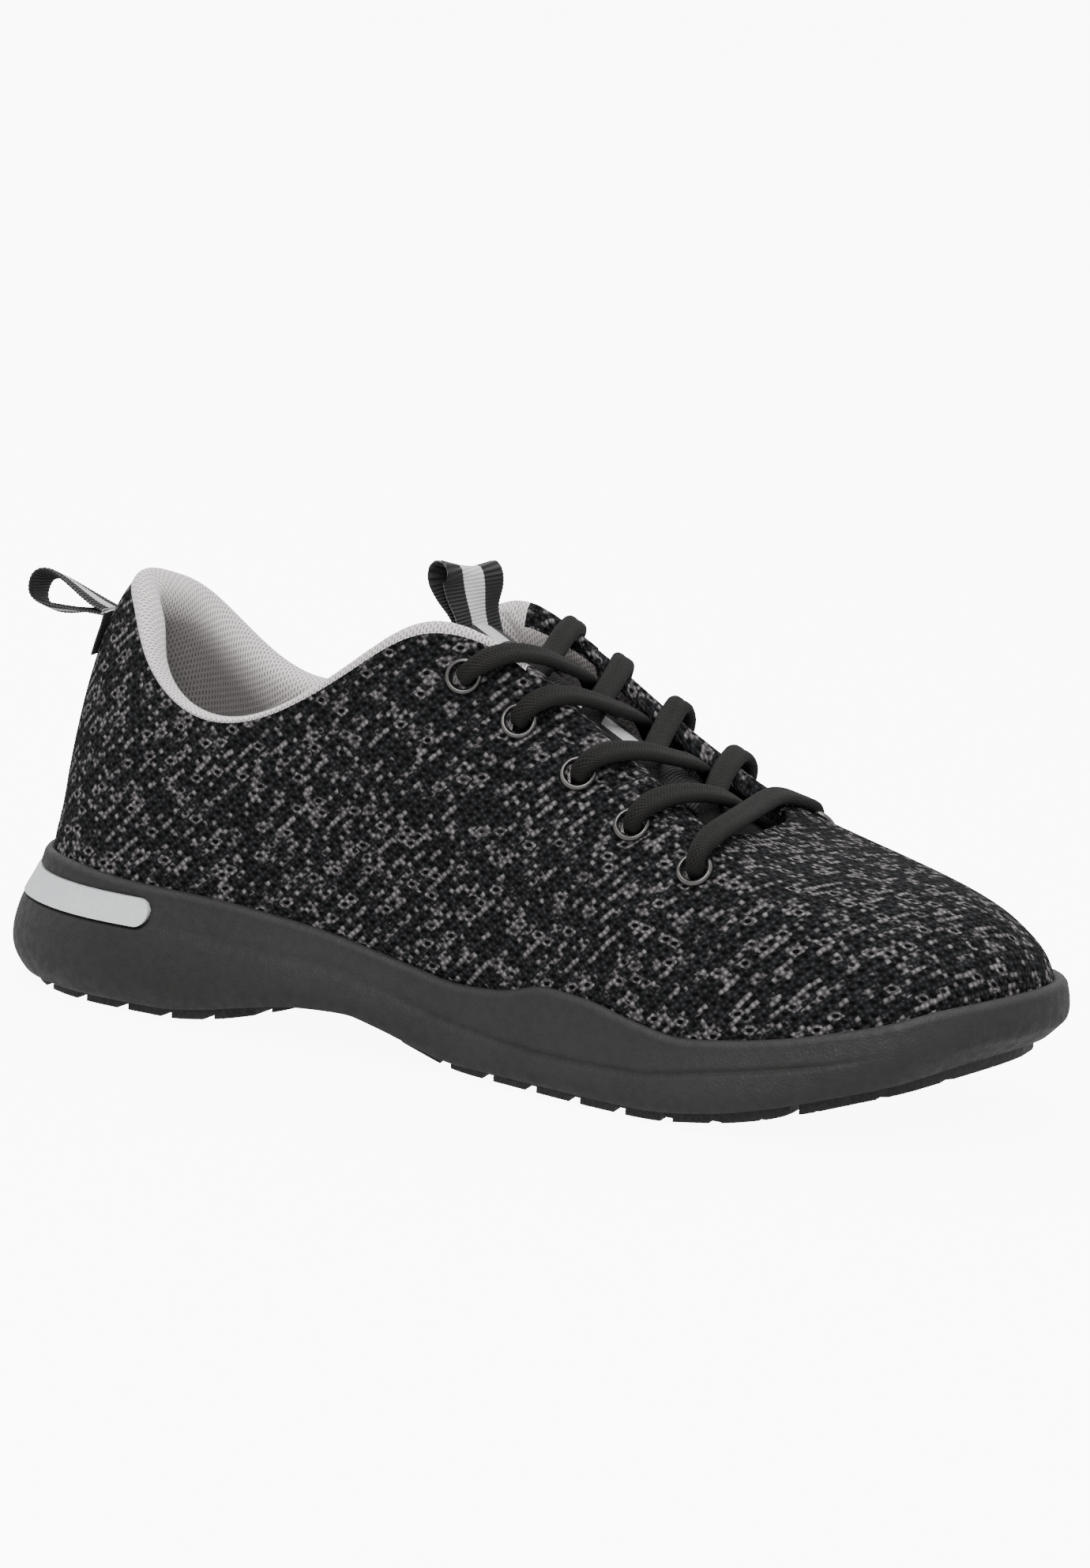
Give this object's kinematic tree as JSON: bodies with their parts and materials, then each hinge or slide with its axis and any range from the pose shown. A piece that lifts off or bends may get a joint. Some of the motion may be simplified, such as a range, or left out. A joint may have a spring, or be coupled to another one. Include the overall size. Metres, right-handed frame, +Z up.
{
  "type": "running shoe",
  "caption": "Right running shoe with a knitted sock-like upper, padded collar, laced tongue with pull loops, flared foam midsole and rubber tread pads.",
  "frame": {"origin": "middle of the shoe's box at ground level", "axes": "+X towards the toe, +Y to the inner (medial) side, +Z up"},
  "size_m": [0.2858, 0.1014, 0.1176],
  "materials": {
    "knit": "engineered knit with grey flecks",
    "spacer_mesh": "light spacer mesh",
    "collar_edge": "rolled mesh",
    "throat_edge": "rolled knit",
    "foam": "open-cell padding foam",
    "stiffener": "thermoplastic sheet",
    "strobel_fabric": "non-woven board",
    "insole_foam": "moulded foam",
    "insole_fabric": "brushed textile",
    "midsole_foam": "moulded foam with fine grain",
    "outsole_rubber": "hard-wearing rubber",
    "strip_plastic": "satin silver grey",
    "eyelet_metal": "gloss gunmetal",
    "lace_braid": "flat-ribbed oval braid",
    "aglet_film": "gloss film",
    "webbing": "grosgrain with a silver stripe"
  },
  "bodies": {
    "shoe": {"aglets": "aglet_film", "collar_binding": "collar_edge", "collar_foam": "foam", "collar_lining": "spacer_mesh", "eyelet_washers_lateral": "eyelet_metal", "eyelet_washers_medial": "eyelet_metal", "eyelets_lateral": "eyelet_metal", "eyelets_medial": "eyelet_metal", "eyestay_lateral": "stiffener", "eyestay_medial": "stiffener", "heel_counter": "stiffener", "heel_strip": "strip_plastic", "insole_cover": "insole_fabric", "insole_foam": "insole_foam", "knit_upper": "knit", "lace": "lace_braid", "midsole": "midsole_foam", "outsole_forefoot_lateral": "outsole_rubber", "outsole_forefoot_medial": "outsole_rubber", "outsole_heel": "outsole_rubber", "outsole_toe": "outsole_rubber", "strobel_board": "strobel_fabric", "throat_binding": "throat_edge", "toe_puff": "stiffener", "vamp_lining": "spacer_mesh"},
    "tongue": {"tongue_cover": "knit", "tongue_foam": "foam", "tongue_lining": "spacer_mesh", "tongue_webbing": "webbing"},
    "tongue_loop": {"tongue_loop": "webbing"},
    "heel_loop": {"heel_loop": "webbing"}
  },
  "joints": [
    {"name": "tongue_swing", "type": "hinge", "parent": "shoe", "child": "tongue", "pos_m": [0.0703, 0, 0.054], "axis": [0, -1, 0], "range_deg": [0, 8], "stiffness_Nm_per_rad": 0.5},
    {"name": "tongue_loop_swing", "type": "hinge", "parent": "tongue", "child": "tongue_loop", "pos_m": [-0.0195, 0.0005, 0.1053], "axis": [0, 1, 0], "range_deg": [-25, 25], "stiffness_Nm_per_rad": 0.02},
    {"name": "heel_loop_swing", "type": "hinge", "parent": "shoe", "child": "heel_loop", "pos_m": [-0.1234, 0.0005, 0.0934], "axis": [0, 1, 0], "range_deg": [-20, 25], "stiffness_Nm_per_rad": 0.02}
  ]
}
